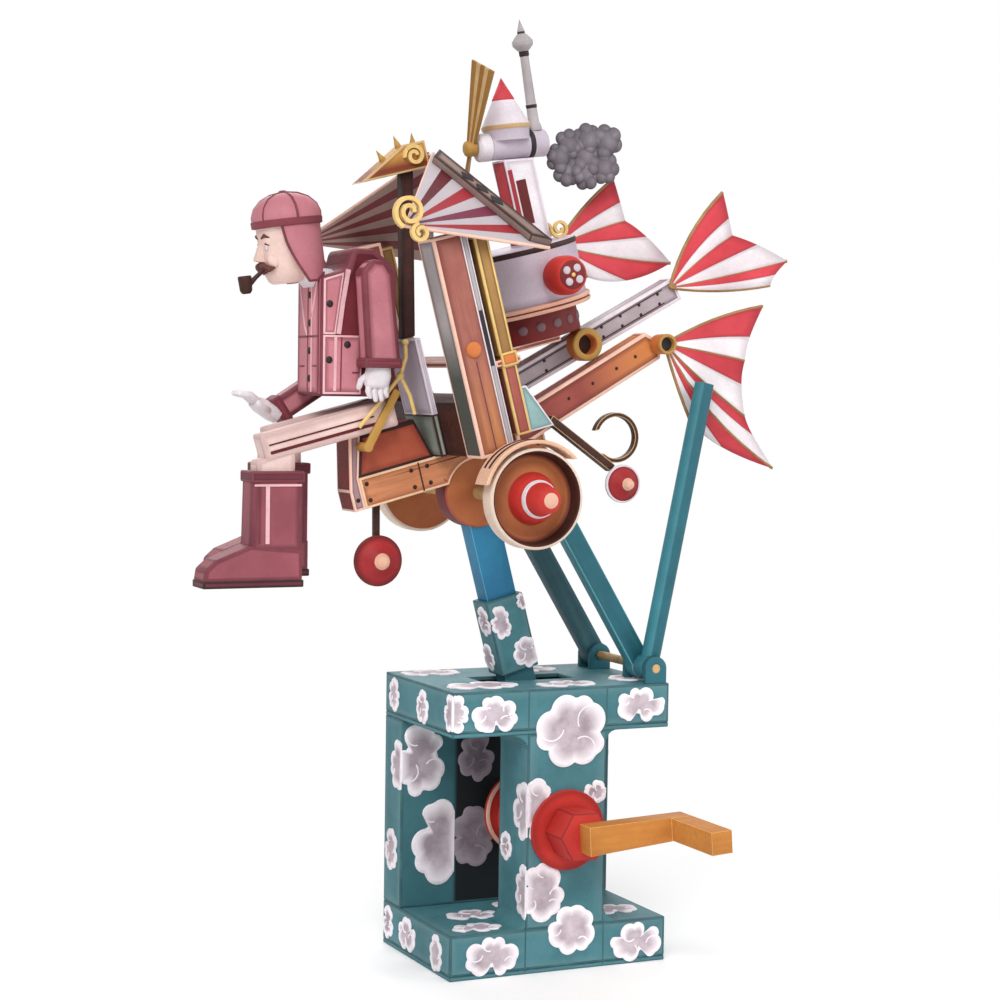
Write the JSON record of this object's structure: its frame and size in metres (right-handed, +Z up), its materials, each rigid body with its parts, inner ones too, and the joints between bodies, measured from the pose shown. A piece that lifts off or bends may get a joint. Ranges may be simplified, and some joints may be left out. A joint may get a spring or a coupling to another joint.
{
  "type": "paper automaton",
  "caption": "Hand-cranked paper automaton: a pilot in a steam flying machine that rocks on a rod and struts above a cloud-printed card box.",
  "frame": {"origin": "centre of the underside of the box, on the table", "axes": "+Z up; the crank is on the -Y side of the box and the machine flies towards -X"},
  "size_m": [0.2171, 0.137, 0.3189],
  "materials": {
    "teal_card": "matte",
    "red_card": "matte",
    "tan_card": "matte",
    "pin_stick": "matte",
    "dark_teal_card": "matte",
    "rod_teal_card": "matte",
    "blue_card": "matte",
    "lilac_card": "matte",
    "brown_card": "matte",
    "gold_card": "matte",
    "stripe_card": "matte",
    "rib_card": "matte",
    "smoke_card": "matte",
    "orange_card": "matte",
    "peach_card": "matte",
    "pink_card": "matte",
    "pale_card": "matte"
  },
  "bodies": {
    "base": {"base_plate": "teal_card", "bottom_box": "teal_card", "front_column": "teal_card", "back_wall": "teal_card", "top_floor": "teal_card", "top_box": "teal_card", "front_flange": "red_card", "shaft_bushes": "tan_card", "hinge_lugs": "teal_card", "hinge_pin": "pin_stick"},
    "crank": {"crank_shaft": "red_card", "crank_collar": "red_card", "crank_arm": "tan_card", "front_web": "red_card", "rear_web": "red_card"},
    "struts": {"near_strut": "dark_teal_card", "far_strut": "dark_teal_card", "strut_pin": "pin_stick"},
    "tail_link": {"tail_rod": "rod_teal_card"},
    "machine": {"main_rod": "blue_card", "rod_sleeve": "teal_card", "axle": "red_card", "keel": "tan_card", "cross_beam": "dark_teal_card", "seat_box": "red_card", "seat_back": "lilac_card", "roof_strut": "brown_card", "main_posts": "brown_card", "rear_posts": "gold_card", "deck": "brown_card", "boiler": "lilac_card", "boiler_knob": "red_card", "roof_panels": "stripe_card", "roof_spars": "rib_card", "ridge_beak": "gold_card", "pylon": "lilac_card", "engine": "lilac_card", "chimney": "lilac_card", "smoke_puff": "smoke_card", "upper_boom": "lilac_card", "lower_boom": "rib_card", "tail_skid": "brown_card", "fixed_fans": "stripe_card", "wheel_arches": "peach_card", "nose_link": "brown_card", "control_lever": "tan_card", "pilot_torso": "pink_card", "pilot_head": "pale_card", "pilot_cap": "pink_card", "pilot_pipe": "brown_card", "pilot_arms": "pink_card", "pilot_legs": "pale_card", "pilot_boots": "pink_card"},
    "near_wheel": {"near_wheel": "orange_card"},
    "far_wheel": {"far_wheel": "orange_card"},
    "nose_wheel": {"nose_wheel": "red_card"},
    "tail_wheel": {"tail_wheel": "red_card"},
    "propeller": {"propeller": "gold_card"},
    "tail_fan": {"tail_fan": "stripe_card"}
  },
  "joints": [
    {"name": "crank_turn", "type": "hinge", "parent": "base", "child": "crank", "pos_m": [0.00188, 0, 0.0475], "axis": [0, -1, 0], "continuous": true},
    {"name": "strut_swing", "type": "hinge", "parent": "base", "child": "struts", "pos_m": [0.035, 0, 0.1], "axis": [0, -1, 0], "range_deg": [-13, 10]},
    {"name": "machine_tilt", "type": "hinge", "parent": "struts", "child": "machine", "pos_m": [0.00109, 0, 0.15539], "axis": [0, -1, 0], "range_deg": [-5, 6.5]},
    {"name": "tail_rod_swing", "type": "hinge", "parent": "base", "child": "tail_link", "pos_m": [0.035, -0.0234, 0.1], "axis": [0, -1, 0], "range_deg": [-7, 5.5]},
    {"name": "fan_swing", "type": "hinge", "parent": "machine", "child": "tail_fan", "pos_m": [0.04126, -0.018, 0.20985], "axis": [0, -1, 0], "range_deg": [-18, 14]},
    {"name": "near_wheel_spin", "type": "hinge", "parent": "machine", "child": "near_wheel", "pos_m": [-0.021, -0.0465, 0.159], "axis": [0, -1, 0], "continuous": true},
    {"name": "far_wheel_spin", "type": "hinge", "parent": "machine", "child": "far_wheel", "pos_m": [-0.021, 0.0465, 0.159], "axis": [0, -1, 0], "continuous": true},
    {"name": "nose_wheel_spin", "type": "hinge", "parent": "machine", "child": "nose_wheel", "pos_m": [-0.05635, -0.005, 0.13638], "axis": [0, -1, 0], "continuous": true},
    {"name": "tail_wheel_spin", "type": "hinge", "parent": "machine", "child": "tail_wheel", "pos_m": [0.02596, -0.021, 0.16226], "axis": [0, -1, 0], "continuous": true},
    {"name": "propeller_spin", "type": "hinge", "parent": "machine", "child": "propeller", "pos_m": [-0.02136, 0, 0.27434], "axis": [0.9914, 0, 0.1305], "continuous": true}
  ],
  "couplings": [
    {"joint": "machine_tilt", "follows": "strut_swing", "ratio": -0.48},
    {"joint": "tail_rod_swing", "follows": "strut_swing", "ratio": 0.504},
    {"joint": "fan_swing", "follows": "strut_swing", "ratio": 1.362}
  ]
}
